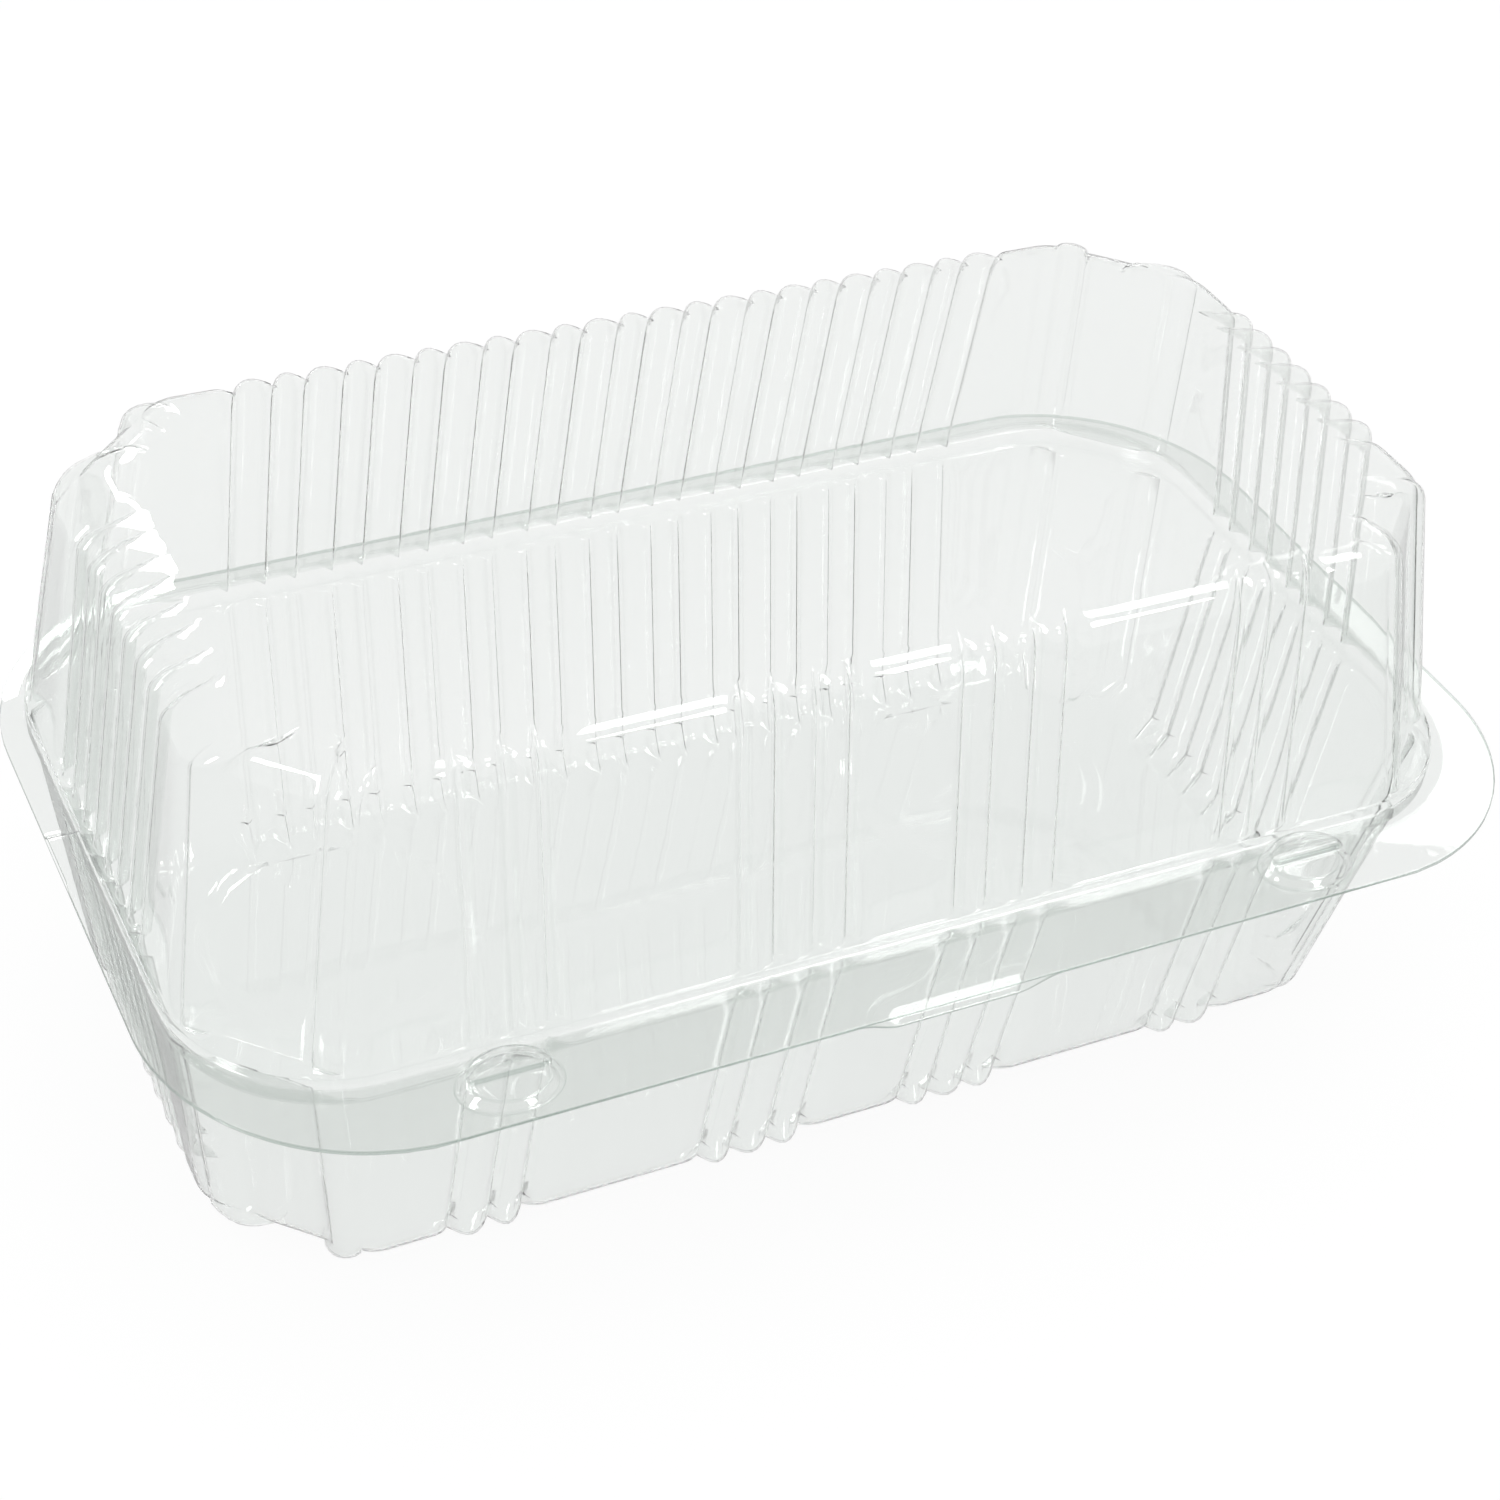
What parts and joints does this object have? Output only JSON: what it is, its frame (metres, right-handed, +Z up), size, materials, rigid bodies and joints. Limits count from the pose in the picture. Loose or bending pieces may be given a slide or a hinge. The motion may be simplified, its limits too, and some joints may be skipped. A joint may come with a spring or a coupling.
{
  "type": "hinged food pack",
  "caption": "Clear hinged food pack with a fluted octagonal tray and domed lid, a wide rim, press-in snap buttons and a fold hinge along the back.",
  "frame": {"origin": "on the table under the middle of the rim, at the underside of the tray's floor", "axes": "+X along the length, -Y towards the snap buttons, +Y towards the hinge, +Z up through the lid"},
  "size_m": [0.248, 0.151, 0.1034],
  "materials": {
    "clear_sheet": "clear gloss"
  },
  "bodies": {
    "tray": {"tray": "clear_sheet"},
    "lid": {"lid": "clear_sheet"}
  },
  "joints": [
    {"name": "lid_hinge", "type": "hinge", "parent": "tray", "child": "lid", "pos_m": [0, 0.0755, 0.053], "axis": [-1, 0, 0], "range_deg": [0, 180]}
  ]
}
